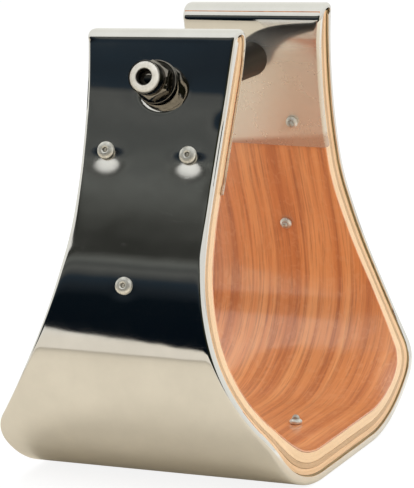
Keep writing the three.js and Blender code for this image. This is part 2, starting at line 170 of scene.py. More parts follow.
LEFT_LOWER_SHIFT = 1.7
RIGHT_PAIR_SHIFT = 3
RIGHT_LOWER_SHIFT = -2.7

WOOD = sum(PLIES.values()) + GLUE_LINE * (len(PLIES) - 1)
WEB = WOOD + SHEET_FIT
OUTER = WEB + SHEET

# Straight and round stretches of the half profile: length, lean at the start and at the end
HIP_END = EASE_LEAN - HIP_TURN
LEVEL = -90 * DEGREE
STRETCHES = [
    (NECK_RUN, NECK_LEAN, NECK_LEAN),
    (FLARE_RADIUS * (FLARE_LEAN - NECK_LEAN), NECK_LEAN, FLARE_LEAN),
    (EASE_RADIUS * (FLARE_LEAN - EASE_LEAN), FLARE_LEAN, EASE_LEAN),
    (HIP_RADIUS * HIP_TURN, EASE_LEAN, HIP_END),
    (HEEL_RADIUS * (HIP_END - LEVEL), HIP_END, LEVEL),
]


def advance(start, stretch, along):
    """Point and lean at a length along a stretch that starts at a point."""
    length, lean_from, lean_to = stretch
    turn = lean_to - lean_from
    lean = lean_from + turn * along / length
    if turn == 0:
        return start[0] + math.sin(lean) * along, start[1] - math.cos(lean) * along, lean
    radius = length / turn
    x = start[0] + radius * (math.cos(lean_from) - math.cos(lean))
    z = start[1] + radius * (math.sin(lean_from) - math.sin(lean))
    return x, z, lean


JOINTS = [(NECK_GAP / 2, 0.0, NECK_LEAN)]
STARTS = [0.0]
for piece in STRETCHES:
    JOINTS.append(advance(JOINTS[-1], piece, piece[0]))
    STARTS.append(STARTS[-1] + piece[0])
STRETCHES.append((JOINTS[-1][0], LEVEL, LEVEL))
HALF_LENGTH = STARTS[-1] + JOINTS[-1][0]
TOP = OUTER - JOINTS[-1][1]


def band(length, offset):
    """Right leg: point (x, z) at a length down the inner face and an offset outwards, its normal and lean."""
    k = min(max(bisect.bisect_right(STARTS, length) - 1, 0), len(STRETCHES) - 1)
    x, z, lean = advance(JOINTS[k], STRETCHES[k], length - STARTS[k])
    nx, nz = math.cos(lean), math.sin(lean)
    return x + offset * nx, z + TOP + offset * nz, nx, nz, lean


ARCH_SUM = CHEEK_RADIUS + CORNER_RADIUS
ARCH_RISE = math.sqrt(ARCH_SUM ** 2 - (ARCH_SUM - (TREAD_DEPTH - NECK_DEPTH) / 2) ** 2)
CORNER_HEIGHT = WAIST_HEIGHT - ARCH_RISE
SHOULDER_HEIGHT = CORNER_HEIGHT + ARCH_RISE * CORNER_RADIUS / ARCH_SUM


def half_depth(z):
    """Half of the wood's depth at a height."""
    rise = z - WAIST_HEIGHT
    if rise >= 0:
        return NECK_DEPTH / 2 + CROWN_RADIUS - math.sqrt(CROWN_RADIUS ** 2 - rise ** 2)
    if z >= SHOULDER_HEIGHT:
        return NECK_DEPTH / 2 + CHEEK_RADIUS - math.sqrt(CHEEK_RADIUS ** 2 - rise ** 2)
    if z <= CORNER_HEIGHT:
        return TREAD_DEPTH / 2
    return TREAD_DEPTH / 2 - CORNER_RADIUS + math.sqrt(CORNER_RADIUS ** 2 - (z - CORNER_HEIGHT) ** 2)


def lengths(start, end, step):
    """Even lengths from start to end, no more than a step apart."""
    count = max(1, math.ceil((end - start) / step))
    return [start + (end - start) * k / count for k in range(count + 1)]


def wander(seed, along, across, size):
    """Smooth seeded noise of about plus or minus one."""
    return noise.noise(Vector((along / size + seed * 17.3, across / size, seed * 5.1)))


def unevenness(waves, along, across, seed=0):
    """Sum of smooth noises, each with its own seed, width and height."""
    return sum(height * wander(seed + own, along, across, width) for own, width, height in waves)


def smooth(share):
    """Soft step from 0 to 1."""
    share = min(max(share, 0), 1)
    return share * share * (3 - 2 * share)


# Mesh making

def make(name, points, faces, uvs=None, crease=35):
    """Object from points in millimetres, smooth but for creases sharper than the given degrees."""
    mesh = bpy.data.meshes.new(name)
    work = bmesh.new()
    vertices = [work.verts.new([c * MM for c in p]) for p in points]
    layer = work.loops.layers.uv.new("grain")
    for face in faces:
        made = work.faces.new([vertices[k] for k in face])
        made.smooth = True
        if uvs:
            for loop, k in zip(made.loops, face):
                loop[layer].uv = (uvs[k][0] * MM, uvs[k][1] * MM)
    bmesh.ops.recalc_face_normals(work, faces=work.faces)
    for edge in work.edges:
        if len(edge.link_faces) == 2 and edge.calc_face_angle(0) > crease * DEGREE:
            edge.smooth = False
    work.to_mesh(mesh)
    work.free()
    made = bpy.data.objects.new(name, mesh)
    bpy.context.scene.collection.objects.link(made)
    return made


def loft(name, rings, marks, across, crease=35):
    """Closed skin through rings of equal point counts. marks is each ring's length along the band,
    across the position over the band of each point in a ring."""
    count = len(rings[0])
    points = [p for ring in rings for p in ring]
    uvs = [(mark, p[1] + depth) for ring, mark in zip(rings, marks) for p, depth in zip(ring, across)]
    faces = []
    for row in range(len(rings) - 1):
        for k in range(count):
            a, b = row * count + k, row * count + (k + 1) % count
            faces.append((a, b, b + count, a + count))
    last = (len(rings) - 1) * count
    faces.append(tuple(reversed(range(count))))
    faces.append(tuple(range(last, last + count)))
    return make(name, points, faces, uvs, crease)


def both_legs(ring_of, stations, marks):
    """Rings down the right leg and up the left one, joined at the middle, with their lengths."""
    right = [ring_of(station, mark, 1) for station, mark in zip(stations, marks)]
    left = [ring_of(station, mark, -1) for station, mark in zip(stations, marks)]
    left = [[(-x, y, z) for x, y, z in ring] for ring in left]
    far = [2 * HALF_LENGTH - m for m in reversed(marks)]
    return right + left[-2::-1], marks + far[1:]


def slanted(x, y, z, side):
    """The legs' tops rise a little to the front, and the left one stands a little higher."""
    share = min(max((z / TOP - SLANT_START) / (1 - SLANT_START), 0), 1)
    return x, y, z + (TOP_LIFT[side] - TOP_SLANT * y) * share * share


def turned(name, profile, place, sides=48, crease=30, shape=None):
    """Body turned about a place's own X axis from (along, radius) points.
    shape, if given, may pull a radius in by angle."""
    points, faces, rows = [], [], []
    for along, radius in profile:
        if radius < 1e-6:
            rows.append([len(points)])
            points.append(place @ Vector((along, 0, 0)))
            continue
        rows.append(list(range(len(points), len(points) + sides)))
        for k in range(sides):
            angle = 2 * math.pi * k / sides
            reach = shape(along, radius, angle) if shape else radius
            points.append(place @ Vector((along, reach * math.cos(angle), reach * math.sin(angle))))
    closed = profile[0] == profile[-1]
    if closed:
        rows[-1] = rows[0]
        points = points[:-sides]
    for one, two in zip(rows, rows[1:]):
        for k in range(sides):
            ring = [one[k % len(one)], one[(k + 1) % len(one)], two[(k + 1) % len(two)], two[k % len(two)]]
            unique = list(dict.fromkeys(ring))
            if len(unique) > 2:
                faces.append(tuple(unique))
    return make(name, points, faces, None, crease)


CORNER_SHARE = 0.45


def rounded(profile, radius, steps=3):
    """Open profile with each inner corner replaced by a small round."""
    out = [profile[0]]
    for before, corner, after in zip(profile, profile[1:], profile[2:]):
        a, b, c = Vector(before), Vector(corner), Vector(after)
        reach = min(radius, (a - b).length * CORNER_SHARE, (c - b).length * CORNER_SHARE)
        start = b + (a - b).normalized() * reach
        end = b + (c - b).normalized() * reach
        for k in range(steps + 1):
            t = k / steps
            out.append(tuple(start * (1 - t) ** 2 + b * 2 * t * (1 - t) + end * t ** 2))
    out.append(profile[-1])
    return out


def closed_round(profile, radius, steps=3):
    """The same for a profile that closes on itself."""
    ring = rounded([profile[-1], *profile, profile[0]], radius, steps)[1:-1]
    return [*ring, ring[0]]


def place_on(side, drop, y):
    """Place whose own X axis points out of the wood, square to it, on the left (-1) or right (1) leg."""
    x, z, nx, nz, _ = band(drop, 0)
    normal = Vector((side * nx, 0, nz))
    rise = Vector((-side * nz, 0, nx))
    turn = Matrix((normal, rise.cross(normal), rise)).transposed().to_4x4()
    return Matrix.Translation((side * x, y, z)) @ turn


# Wood
PLY_TOP = 2.4
PLY_STEPS = (2.4, 2.0, 1.3)
EDGE_EASE = 0.12
FAR_EASE = 0.1
OTHER_EDGE = 40


def tab_ease(length):
    """How far the tab and the wood under it are pressed back towards the top, and the slope there."""
    reach = TAB_EASE_FROM - TAB_EASE_TO
    bend = math.tan(NECK_LEAN) / (2 * reach)
    along = TAB_EASE_FROM - length
    if along <= 0:
        return 0.0, 0.0
    if along >= reach:
        return bend * reach ** 2 + 2 * bend * reach * (along - reach), 2 * bend * reach
    return bend * along ** 2, 2 * bend * along


def ply(name, inner, thickness, seed):
    """One lamination, its sawn edges a little uneven."""
    neck_step, flare_step, bend_step = PLY_STEPS
    marks = lengths(PLY_TOP, STARTS[2], neck_step) + lengths(STARTS[2], STARTS[3], flare_step)[1:]
    marks += lengths(STARTS[3], HALF_LENGTH, bend_step)[1:]
    outer = inner + thickness
    near = [(inner, -2 * EDGE_EASE), (inner, -EDGE_EASE)]
    near += [(inner + 0.6 * EDGE_EASE, -0.25 * EDGE_EASE), (inner + 2 * EDGE_EASE, 0)]
    far = [(outer - FAR_EASE, 0), (outer, -FAR_EASE)]
    corners = [(offset, 1, inset) for offset, inset in near + far]
    corners += [(offset, -1, inset) for offset, inset in reversed(near + far)]

    def ring_of(mark, _, side):
        ring = []
        for offset, edge, inset in corners:
            place = mark * side + edge * OTHER_EDGE
            saw = unevenness(SAW_WAVES, place, 0, seed) - SAW_SINK
            level = max(0.0, 1 - 2 * mark / TAB_LENGTH) * math.tan(NECK_LEAN) * offset
            pressed = tab_ease(mark + level)[0] * (1 - offset / WOOD)
            x, z, *_ = band(mark + level, offset + pressed)
            ring.append(slanted(x, edge * (half_depth(z) + saw + inset), z, side))
        return ring

    rings, far_marks = both_legs(ring_of, marks, marks)
    return loft(name, rings, far_marks, [offset for offset, _, _ in corners])


# Sheet cover

FOLD_INNER = FOLD_RADIUS - SHEET
CAP = TOP + SHEET_FIT
OUTER_FOLD_TURN = 90 * DEGREE - NECK_LEAN
OUTER_FOLD_REACH = FOLD_INNER * math.tan(OUTER_FOLD_TURN / 2)
OUTER_MITRE = math.tan((math.pi - OUTER_FOLD_TURN) / 2)
WEB_TOP = (WEB * math.sin(NECK_LEAN) - SHEET_FIT) / math.cos(NECK_LEAN)

# Fasteners on each leg: drop, centre of the hollow, radius on the sheet, then the hollow
SHIFTS = {1: (RIGHT_PAIR_SHIFT, RIGHT_LOWER_SHIFT), -1: (LEFT_PAIR_SHIFT, LEFT_LOWER_SHIFT)}
HOLLOWS = {}
for leg_side, (pair, lower) in SHIFTS.items():
    spots = [(BOLT_DROP, BOLT_HOLLOW_SHIFT, WASHER_DIAMETER / 2, *BOLT_HOLLOW)]
    for end in (-1, 1):
        centre = pair + UPPER_HOLLOW_SHIFT + end * UPPER_RIVET_SPREAD / 2
        spots.append((UPPER_RIVET_DROP, centre, RIVET_HEAD / 2, *UPPER_RIVET_HOLLOW))
    spots.append((LOWER_RIVET_DROP, lower, RIVET_HEAD / 2, *LOWER_RIVET_HOLLOW))
    HOLLOWS[leg_side] = spots


def side_press(mark, end):
    """How strongly the front (-1) or rear (1) side of the web is pressed down at a length along the leg."""
    if end < 0:
        start = smooth((mark - FRONT_PRESS_FROM) / FRONT_PRESS_FADE_IN)
        return start * smooth((FRONT_PRESS_TO - mark) / FRONT_PRESS_FADE_OUT)
    leg = REAR_PRESS * smooth((STARTS[3] - mark) / REAR_PRESS_FADE)
    neck = REAR_NECK_PRESS * smooth((REAR_NECK_TO - mark) / REAR_NECK_FADE)
    return max(leg, neck)


def web_shape(mark, y, side, depth):
    """Outward change of the web: crease, a hollow below each fastener, pressed sides and faint waves."""
    rise = CREASE_RISE * min(max((CREASE_DROP - mark) / CREASE_RUN, 0), 1)
    for drop, centre, radius, reach, hollow, power in HOLLOWS[side]:
        down, away = mark - drop, y - centre
        gap = math.hypot(down, away)
        if gap < radius + reach and down > -radius:
            below = smooth(HOLLOW_AIM * down / max(gap, 0.1) + HOLLOW_BACK)
            rise -= hollow * below * (1 - max(gap - radius, 0) / reach) ** power
    end = 1 if y > 0 else -1
    width = SIDE_EASE_WIDTH[end]
    edge = (abs(y) - (depth - width)) / width
    if edge > 0:
        rise -= SIDE_EASE * side_press(mark, end) * min(edge, 1) ** 2
    return rise + unevenness(WEB_WAVES, mark * side, y)


def web_lip(length):
    """Lip on the web, which changes from the leg's to the tread's round the heel."""
    share = min(max((length - STARTS[3]) / (STARTS[4] - STARTS[3]), 0), 1)
    return COVER_LIP + (TREAD_LIP - COVER_LIP) * share


TAB_STEP = 1.3
WEB_STEP = 1.2
BEND_STEP = 0.9
TREAD_STEP = 4
NOTCH_START = 0.6
TAB_LIP_START = 3
INNER_FOLD_STEPS = 14
OUTER_FOLD_STEPS = 12


def sheet_stations():
    """The sheet's stations from the tab's lower end over the leg's top and down to the middle of the tread:
    point on the wood side, outward direction, lip, and whether it is on the web (1) or not (0)."""
    out, marks = [], []

    def put(station, mark):
        out.append(station)
        marks.append(mark)

    def on_tab(length, lip):
        pressed, slope = tab_ease(length)
        curl = TAB_CURL * smooth((length - TAB_LENGTH + TAB_CURL_RUN) / TAB_CURL_RUN)
        x, z, _, _, lean = band(length, pressed - SHEET_FIT + curl)
        angle = math.pi + lean - math.atan(slope)
        put((x, z, math.cos(angle), math.sin(angle), lip, 0), -length)
        return x, z

    tab_run = TAB_LENGTH - TAB_NOTCH
    on_tab(TAB_LENGTH, NOTCH_LIP)
    on_tab(tab_run + NOTCH_START, NOTCH_LIP)
    for length in reversed(lengths(TAB_EASE_TO, tab_run, TAB_STEP)):
        start_x, start_z = on_tab(length, TAB_LIP if length > TAB_EASE_TO + TAB_LIP_START else FOLD_LIP)
    round_radius = CAP - start_z
    inner_x = start_x + round_radius
    outer_x = band(WEB_TOP, WEB)[0] - OUTER_FOLD_REACH
    for k in range(1, INNER_FOLD_STEPS + 1):
        angle = math.pi - math.pi / 2 * k / INNER_FOLD_STEPS
        nx, nz = math.cos(angle), math.sin(angle)
        put((inner_x + round_radius * nx, start_z + round_radius * nz, nx, nz, FOLD_LIP, 0), -1)
    shift = CREASE_RISE * math.cos(NECK_LEAN)
    for k in range(OUTER_FOLD_STEPS + 1):
        angle = math.pi / 2 - OUTER_FOLD_TURN * k / OUTER_FOLD_STEPS
        nx, nz = math.cos(angle), math.sin(angle)
        lift = CREASE_RISE * math.sin(NECK_LEAN) * k / OUTER_FOLD_STEPS
        x = outer_x + shift + FOLD_INNER * nx
        z = CAP - FOLD_INNER + lift + FOLD_INNER * nz
        put((x, z, nx, nz, FOLD_LIP, 0), 1)
    web_start = WEB_TOP + OUTER_FOLD_REACH
    mitre = (COVER_LIP - FOLD_LIP) / OUTER_MITRE
    marks_web = lengths(web_start + mitre, STARTS[3], WEB_STEP)
    marks_web += lengths(STARTS[3], STARTS[5], BEND_STEP)[1:]
    marks_web += lengths(STARTS[5], HALF_LENGTH, TREAD_STEP)[1:]
    for length in marks_web:
        put((*band(length, WEB)[:4], web_lip(length), 1), length)
    return out, marks


COLUMNS = 48
ROLL_STEPS = 8
LIP_ROUND = 0.15
LIP_BULGE = 0.1
LIP_LAST = 0.03
LIP_ON_MAP = 4


def cover_section():
    """Channel section once round: (share of the lip, side, inset, rise, share of the web or None) points."""
    edge = [(0, SHEET, 0), (-1, SHEET, 0), (-1, SHEET - LIP_ROUND, -LIP_BULGE), (-1, LIP_ROUND, -LIP_BULGE)]
    edge.append((-1, LIP_LAST, 0))
    points = [(lip, 1, inset, extra, None) for lip, inset, extra in edge]
    for k in range(ROLL_STEPS + 1):
        angle = math.pi / 2 * k / ROLL_STEPS
        rise = SHEET - EDGE_ROLL + EDGE_ROLL * math.sin(angle)
        points.append((0, 1, EDGE_ROLL * (1 - math.cos(angle)), rise, None))
    half = list(points)
    for k in range(1, COLUMNS):
        points.append((0, 0, 0, SHEET, 1 - 2 * k / COLUMNS))
    points += [(lip, -1, inset, extra, None) for lip, _, inset, extra, _ in reversed(half)]
    return points


def cover():
    """The one sheet: web, lips, folds and tabs."""
    stations, marks = sheet_stations()
    section = cover_section()

    def ring_of(station, mark, side):
        x, z, nx, nz, lip, on_web = station
        rough = unevenness(LIP_WAVES, mark * side, 0)
        ring = []
        for share_of_lip, edge, inset, rise, share in section:
            offset = rise + share_of_lip * (lip + rough)
            px, pz = x + offset * nx, z + offset * nz
            depth = half_depth(pz) + EDGE_FIT + SHEET
            y = edge * (depth - inset) if share is None else share * (depth - EDGE_ROLL)
            if on_web and offset > 0.1:
                change = web_shape(mark, y, side, depth)
                px, pz = px + change * nx, pz + change * nz
            ring.append(slanted(px, y, pz, side))
        return ring

    rings, far_marks = both_legs(ring_of, stations, marks)
    across = [LIP_ON_MAP * lip + rise for lip, _, _, rise, _ in section]
    return loft("metal_cover_sheet", rings, far_marks, across, crease=40)


# Hardware

WASHER_SEAT = OUTER + WASHER_GAP
NUT_START = WASHER_SEAT + WASHER_THICKNESS + SEAT_GAP
NUT_END = NUT_START + NUT_HEX_HEIGHT + NUT_COLLAR_HEIGHT
RING_END = NUT_END - RING_RECESS
RING_START = RING_END - RING_THICKNESS
BOLT_END = RING_START - SEAT_GAP
TAB_FACE = -(SHEET_FIT + SHEET)
FOOT_X, BOLT_LEVEL, _, _, BOLT_LEAN = band(BOLT_DROP, TAB_FACE)
LEVEL_HALF = FOOT_X - BOLT_BEND_RADIUS * math.tan(BOLT_LEAN / 2)
ROLLER_CORNER = ROLLER_DIAMETER / 2 - ROLLER_CHAMFER
HEX_BITE = 30 * DEGREE
HEX_ROUND = 0.955
HEX_SEAT = 0.9
HEX_SPARE = 1
HEX_STEPS = 24
THREAD_GAP = 0.2
RING_FIT = 0.1
COLLAR_WAIST = 0.9
COLLAR_ROUND = 1.6
RING_PROUD = 0.25
TIP_CHAMFER = 1.4
BEND_STEPS = 8
SHANK_SIDES = 40
HEAD_SEAT = 0.4
HEAD_DISH = 0.2
ROLLER_HALF = FOOT_X - ROLLER_CORNER * math.tan(BOLT_LEAN) - ROLLER_END_GAP / math.cos(BOLT_LEAN)


def hexagonal(start, end, bite):
    """Radius rule for a wrench hexagon whose corners are turned off round at both ends."""
    def reach(along, radius, angle):
        step = math.pi / 3
        from_flat = (angle + step / 2) % step - step / 2
        flat = WRENCH_SIZE / 2 / math.cos(from_flat)
        depth = min(along - start, end - along)
        cone = HEX_ROUND * WRENCH_SIZE / 2 + max(depth, 0) / math.tan(bite)
        return min(flat, cone) if radius > WRENCH_SIZE / 2 else radius
    return reach


def nut(place):
    """Hexagon with a round collar that holds the nylon ring."""
    hex_end = NUT_START + NUT_HEX_HEIGHT
    wide = WRENCH_SIZE / 2 + HEX_SPARE
    collar = NUT_COLLAR_DIAMETER / 2
    bore = BOLT_DIAMETER / 2 + THREAD_GAP
    seat = RING_OUTER / 2 + RING_FIT
    profile = [(NUT_START, bore), (NUT_START, HEX_SEAT * WRENCH_SIZE / 2)]
    profile += [(NUT_START + NUT_HEX_HEIGHT * k / HEX_STEPS, wide) for k in range(HEX_STEPS + 1)]
    top = [(hex_end, collar - COLLAR_WAIST), (hex_end + 1, collar - COLLAR_WAIST), (hex_end + 2, collar)]
    top += [(NUT_END - 0.3, collar - 0.1), (NUT_END - 0.1, seat + 0.1)]
    profile += rounded(top, COLLAR_ROUND, 6)
    profile += [(RING_START, seat), (RING_START, bore), profile[0]]
    return turned("lock_nut_body", profile, place, 96, 28, hexagonal(NUT_START, hex_end, HEX_BITE))


def nut_ring(place):
    """Nylon ring in the nut's collar, a little proud of it."""
    outer, bore = RING_OUTER / 2, RING_BORE / 2
    proud = NUT_END + RING_PROUD
    profile = [(RING_START, bore), (RING_START, outer), (NUT_END - 0.4, outer), (proud, outer - 0.9)]
    profile += [(proud, bore + 0.25), (NUT_END - 0.3, bore)]
    return turned("lock_nut_nylon", closed_round(profile, 0.6), place)


def washer(name, place):
    start, end = WASHER_SEAT, WASHER_SEAT + WASHER_THICKNESS
    outer, bore = WASHER_DIAMETER / 2, WASHER_BORE / 2
    profile = [(start, bore), (start, outer), (end, outer), (end, bore)]
    return turned(name, closed_round(profile, 0.3), place, 64)


def bolt_shank():
    """Shank level under the roller and bent up at both ends, with its tip chamfered."""
    radius = BOLT_DIAMETER / 2
    tip = ((0, radius - TIP_CHAMFER), (0.9, radius), (1.1, radius))
    half = [(back, None, BOLT_LEAN, reach) for back, reach in tip]
    for k in range(BEND_STEPS + 1):
        lean = BOLT_LEAN * (1 - k / BEND_STEPS)
        x = LEVEL_HALF + BOLT_BEND_RADIUS * math.sin(lean)
        half.append((x, BOLT_LEVEL + BOLT_BEND_RADIUS * (1 - math.cos(lean)), lean, radius))
    half.append((0, BOLT_LEVEL, 0, radius))

    def ring_of(station, _, side):
        x, z, lean, reach = station
        if z is None:
            end = BOLT_END if side < 0 else NUT_START + HEAD_HEIGHT / 2
            x, z, *_ = band(BOLT_DROP, end - x)
        ring = []
        for k in range(SHANK_SIDES):
            angle = 2 * math.pi * k / SHANK_SIDES
            up = reach * math.sin(angle)
            ring.append((x - up * math.sin(lean), reach * math.cos(angle), z + up * math.cos(lean)))
        return ring

    rings, marks = both_legs(ring_of, half, list(range(len(half))))
    return loft("hanger_bolt_shank", rings, marks, [0] * SHANK_SIDES)


def bolt_head(place):
    """Hexagon head with a round seat and a shallow dish on its end."""
    start = NUT_START
    end = start + HEAD_HEIGHT
    wide = WRENCH_SIZE / 2 + HEX_SPARE
    seat = 0.92 * WRENCH_SIZE / 2
    rise = HEAD_HEIGHT - HEAD_SEAT
    profile = [(start, 0), (start, seat), (start + HEAD_SEAT, seat)]
    profile += [(start + HEAD_SEAT + rise * k / HEX_STEPS, wide) for k in range(HEX_STEPS + 1)]
    profile += [(end, 0.9 * WRENCH_SIZE / 2), (end - 0.15, 0.8 * WRENCH_SIZE / 2), (end - HEAD_DISH, 0)]
    return turned("hanger_bolt_head", profile, place, 96, 28, hexagonal(start - 9, end, HEX_BITE))


def roller():
    outer, bore = ROLLER_DIAMETER / 2, ROLLER_BORE / 2
    half = min(ROLLER_HALF, LEVEL_HALF)
    profile = [(-half, bore), (-half, outer), (half, outer), (half, bore)]
    place = Matrix.Translation((0, 0, BOLT_LEVEL))
    return turned("strap_roller_sleeve", closed_round(profile, 1.2 * ROLLER_CHAMFER, 6), place, 96)


DOME_STEPS = 8
DOME_EASE = 0.25
DOME_POWER = 0.9
DIMPLE_RIM = 0.45
BULGE_ROUND = 0.6


def rivet(name, place, foot, flush):
    """Hollow rivet and the broken mandrel in it."""
    head, shank, bore, tail = RIVET_HEAD / 2, RIVET_SHANK / 2, RIVET_BORE / 2, RIVET_TAIL / 2
    seat = OUTER + SEAT_GAP
    top = OUTER - SEAT_GAP if flush else seat + RIVET_HEAD_HEIGHT
    end = foot - RIVET_TAIL_HEIGHT
    dome = [(seat, shank), (seat, head - 0.15), (seat + 0.15, head)]
    rim = bore + DIMPLE_RIM
    for k in range(1, DOME_STEPS + 1):
        angle = math.pi / 2 * k / DOME_STEPS
        reach = rim + (head - rim) * math.cos(angle) ** DOME_POWER
        dome.append((seat + DOME_EASE + (RIVET_HEAD_HEIGHT - DOME_EASE) * math.sin(angle), reach))
    cone = [(OUTER - FLUSH_SINK, shank), (top - 0.1, head), (top, head - 0.1)]
    profile = (cone if flush else dome) + [(top - 0.3, bore), (end, bore)]
    bulge = [(end, bore + 0.2), (end, tail * 0.6), (foot - 0.55 * RIVET_TAIL_HEIGHT, tail * 1.02)]
    bulge += [(foot, tail * 0.9), (foot, shank)]
    profile += rounded(bulge, BULGE_ROUND, 4)
    profile.append(profile[0])
    shell = turned(f"{name}_shell", profile, place, 40)
    rod, ball = MANDREL / 2, MANDREL_HEAD / 2
    start = foot - RIVET_TAIL_HEIGHT - SEAT_GAP
    tip = top - MANDREL_SINK
    pin = [(start - ball, 0)]
    pin += [(start - ball * math.cos(a), ball * math.sin(a)) for a in (0.3, 0.6, 0.9, 1.2, 1.57)]
    pin += [(start, rod), (tip - 0.3, rod), (tip, rod * 0.6), (tip + 0.1, rod * 0.3), (tip, 0)]
    return shell, turned(f"{name}_pin", pin, place, 24)


# Node material making

def add(tree, kind, inputs=None, **options):
    """New node with its options set and its inputs set or linked."""
    made = tree.nodes.new(kind)
    for key, value in options.items():
        setattr(made, key, value)
    for key, value in (inputs or {}).items():
        if isinstance(value, bpy.types.NodeSocket):
            tree.links.new(value, made.inputs[key])
        else:
            made.inputs[key].default_value = value
    return made


def new_material(name, **sockets):
    made = bpy.data.materials.new(name)
    made.use_nodes = True
    shader = made.node_tree.nodes["Principled BSDF"]
    for key, value in sockets.items():
        shader.inputs[key.replace("_", " ")].default_value = value
    return made, made.node_tree, shader


def grain_map(tree):
    """The band's own coordinates in metres: along it from the right leg's top, and over its surface."""
    return add(tree, "ShaderNodeUVMap", uv_map="grain").outputs[0]


def grain(tree, along, across, detail=4.0, roughness=0.55, seed=0.0, distortion=0.0):
    """Noise stretched on the band's own coordinates, in cycles per metre along and across it."""
    scaled = add(tree, "ShaderNodeMapping", {
        "Vector": grain_map(tree), "Scale": (along, across, 1), "Location": (seed, 1.7 * seed, 0)})
    return add(tree, "ShaderNodeTexNoise", {
        "Vector": scaled.outputs[0], "Scale": 1.0, "Detail": detail, "Roughness": roughness,
        "Distortion": distortion}).outputs["Fac"]


def solid_noise(tree, scale, detail=3.0, roughness=0.5, stretch=(1, 1, 1), seed=0.0):
    """Noise in the object's own space, in cycles per metre."""
    place = add(tree, "ShaderNodeTexCoord").outputs["Object"]
    scaled = add(tree, "ShaderNodeMapping", {
        "Vector": place, "Scale": stretch, "Location": (seed, seed, seed)})
    return add(tree, "ShaderNodeTexNoise", {
        "Vector": scaled.outputs[0], "Scale": scale, "Detail": detail, "Roughness": roughness}).outputs["Fac"]


def ramp(tree, value, stops):
    """Colour read from (position, colour) stops."""
    made = add(tree, "ShaderNodeValToRGB", {"Fac": value})
    elements = made.color_ramp.elements
    while len(elements) < len(stops):
        elements.new(0.5)
    for element, (position, colour) in zip(elements, stops):
        element.position = position
        element.color = (*colour, 1)
    return made.outputs["Color"]


def span(tree, value, low, high, low_in=0.3, high_in=0.7):
    """Value taken from one range to another, clamped."""
    made = add(tree, "ShaderNodeMapRange", {
        "Value": value, "From Min": low_in, "From Max": high_in, "To Min": low, "To Max": high})
    return made.outputs["Result"]


def mix(tree, factor, one, two, kind="MIX"):
    """Mix of two colours. Inputs 0, 6 and 7 are the factor and the colours, output 2 is the result."""
    made = add(tree, "ShaderNodeMix", data_type="RGBA", blend_type=kind)
    for socket, value in zip((made.inputs[0], made.inputs[6], made.inputs[7]), (factor, one, two)):
        if isinstance(value, bpy.types.NodeSocket):
            tree.links.new(value, socket)
        elif isinstance(value, tuple):
            socket.default_value = (*value, 1)
        else:
            socket.default_value = value
    return made.outputs[2]


def total(tree, one, two, kind="ADD"):
    return add(tree, "ShaderNodeMath", {0: one, 1: two}, operation=kind).outputs[0]


def bump(tree, shader, height, distance, strength=1.0, below=None):
    made = add(tree, "ShaderNodeBump", {"Height": height, "Distance": distance, "Strength": strength})
    if below:
        tree.links.new(below, made.inputs["Normal"])
    tree.links.new(made.outputs["Normal"], shader.inputs["Normal"])
    return made.outputs["Normal"]


def veneer_material():
    """Varnished red veneer: straight grain in soft bands, fine dark streaks, open pores and pale flecks."""
    made, tree, shader = new_material("red_veneer", Coat_Weight=1.0, Coat_Roughness=0.19, Coat_IOR=1.9)
    broad = grain(tree, 4, 150, 3, 0.5, 1.0, 0.25)
    streak = grain(tree, 9, 420, 4, 0.62, 2.0, 0.15)
    pores = grain(tree, 60, 1300, 2, 0.5, 3.0)
    fleck = grain(tree, 260, 330, 2, 0.5, 6.0, 1.0)
    tone = ramp(tree, broad, [
        (0.36, (0.55, 0.17, 0.050)), (0.5, (0.75, 0.28, 0.092)), (0.64, (0.88, 0.385, 0.145))])
    tone = mix(tree, span(tree, streak, 0.0, 0.62, 0.49, 0.68), tone, (0.34, 0.085, 0.025))
    tone = mix(tree, span(tree, pores, 0.0, 0.4, 0.55, 0.72), tone, (0.27, 0.08, 0.03))
    tone = mix(tree, span(tree, fleck, 0.0, 0.22, 0.5, 0.7), tone, (0.85, 0.44, 0.22))
    tree.links.new(tone, shader.inputs["Base Color"])
    tree.links.new(span(tree, streak, 0.34, 0.5), shader.inputs["Roughness"])
    bump(tree, shader, total(tree, streak, pores), 0.00004, 0.5)
    return made


def ply_material(name, light, dark, seed, spots=0.0):
    """Sawn edge of one lamination: soft streaks along it, open pores and a little dirt."""
    made, tree, shader = new_material(name, Coat_Weight=0.25, Coat_Roughness=0.2, Specular_IOR_Level=0.35)
    streak = grain(tree, 45, 1400, 4, 0.6, seed)
    cloud = grain(tree, 18, 60, 2, 0.5, seed + 4)
    speck = grain(tree, 900, 1600, 2, 0.6, seed + 9)
    tone = ramp(tree, streak, [(0.3, dark), (0.62, light)])
    tone = mix(tree, span(tree, cloud, 0.0, 0.35), tone, dark)
    tone = mix(tree, span(tree, speck, 0.0, 0.3 + spots, 0.56, 0.72), tone, tuple(0.45 * c for c in dark))
    tree.links.new(tone, shader.inputs["Base Color"])
    tree.links.new(span(tree, streak, 0.4, 0.6), shader.inputs["Roughness"])
    bump(tree, shader, total(tree, streak, speck), 0.00008, 0.7)
    return made


# The sheet's tabs, in millimetres from a leg's top, from the tab's end or across the depth. A tab's reddish
# lower end and browner front part are painted reflections.
TAB_FADE_FROM = 8
TAB_FADE_TO = 22
TAB_TONE = (0.82, 0.80, 0.73)
# Painted reflection of the wood: a reddish band at each tab's lower end
TAB_END_PAINTED_REFLECTION = (0.46, 0.235, 0.15)
TAB_END_FROM = 4.5
TAB_END_TO = 2
TAB_END_SLANT = 0.12
TAB_END_REFLECTION_SHARE = 0.75
# Painted reflection: the tab's front part browner
TAB_FRONT_PAINTED_REFLECTION = (0.60, 0.49, 0.38)
TAB_FRONT_FROM = -14
TAB_FRONT_TO = 4
TAB_FRONT_REFLECTION_SHARE = 0.5
TAB_MATT = 0.5
TAB_DULLNESS = 0.22

# Scuffs below the upper rivets, and fine scratches
SCUFF = 0.12
SCUFF_DROP = 4
SCRATCH = 0.12


